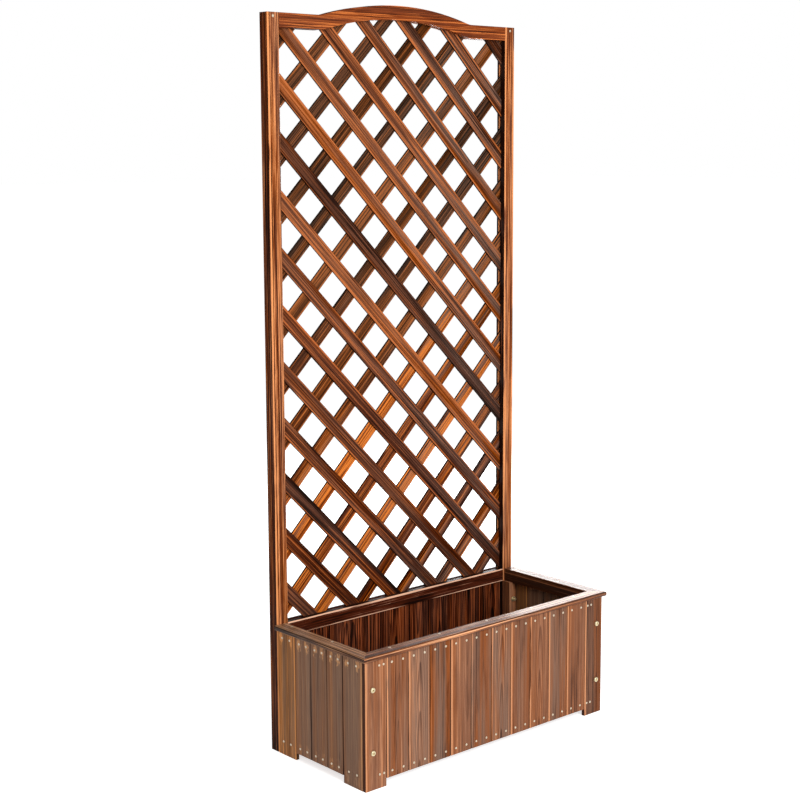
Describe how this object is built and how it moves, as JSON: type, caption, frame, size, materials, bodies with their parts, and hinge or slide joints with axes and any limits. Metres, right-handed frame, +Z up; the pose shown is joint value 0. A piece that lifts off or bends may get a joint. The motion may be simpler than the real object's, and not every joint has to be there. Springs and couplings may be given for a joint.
{
  "type": "planter with trellis",
  "caption": "Rectangular wooden planter box on short feet with a tall diagonal-lattice trellis and an arched top rail rising from its back edge.",
  "frame": {"origin": "on the floor under the middle of the bounding box", "axes": "+X along the box to the viewer's right, +Y from the front boards to the trellis, +Z up"},
  "size_m": [0.816, 0.372, 1.7999],
  "materials": {
    "front_boards": "burnt and brushed fir, matte, warm red-brown",
    "side_boards": "burnt and brushed fir, matte, greyer brown",
    "back_boards": "burnt fir, matte, very dark",
    "rim": "planed fir with a thin brown stain",
    "trellis_frame": "burnt and brushed fir, matte, orange-brown",
    "slats": "sawn fir slats, matte, red-brown with dark edges",
    "inner_wood": "sawn fir, matte, dark brown",
    "nail_steel": "zinc-plated, dull",
    "bolt_steel": "yellowish zinc plating"
  },
  "bodies": {
    "root": {"arch_rail": "trellis_frame", "back_board_1": "back_boards", "back_board_10": "back_boards", "back_board_11": "back_boards", "back_board_2": "back_boards", "back_board_3": "back_boards", "back_board_4": "back_boards", "back_board_5": "back_boards", "back_board_6": "back_boards", "back_board_7": "back_boards", "back_board_8": "back_boards", "back_board_9": "back_boards", "batten_bottom_back": "inner_wood", "batten_bottom_front": "inner_wood", "batten_bottom_left": "inner_wood", "batten_bottom_right": "inner_wood", "batten_top_front": "inner_wood", "batten_top_left": "inner_wood", "batten_top_right": "inner_wood", "board_nails": "nail_steel", "bolts": "bolt_steel", "bottom_rail": "trellis_frame", "floor_boards": "inner_wood", "frame_screws": "nail_steel", "front_board_1": "front_boards", "front_board_10": "front_boards", "front_board_11": "front_boards", "front_board_12": "front_boards", "front_board_2": "front_boards", "front_board_3": "front_boards", "front_board_4": "front_boards", "front_board_5": "front_boards", "front_board_6": "front_boards", "front_board_7": "front_boards", "front_board_8": "front_boards", "front_board_9": "front_boards", "lattice_back_slats": "slats", "lattice_front_slats": "slats", "left_board_1": "side_boards", "left_board_2": "side_boards", "left_board_3": "side_boards", "left_board_4": "side_boards", "left_board_5": "side_boards", "nuts": "bolt_steel", "post_back_left": "inner_wood", "post_back_right": "inner_wood", "post_front_left": "inner_wood", "post_front_right": "inner_wood", "right_board_1": "side_boards", "right_board_2": "side_boards", "right_board_3": "side_boards", "right_board_4": "side_boards", "right_board_5": "side_boards", "rim_front": "rim", "rim_left": "rim", "rim_right": "rim", "rim_screws": "nail_steel", "stile_left": "trellis_frame", "stile_right": "trellis_frame", "washers": "bolt_steel"}
  },
  "joints": []
}
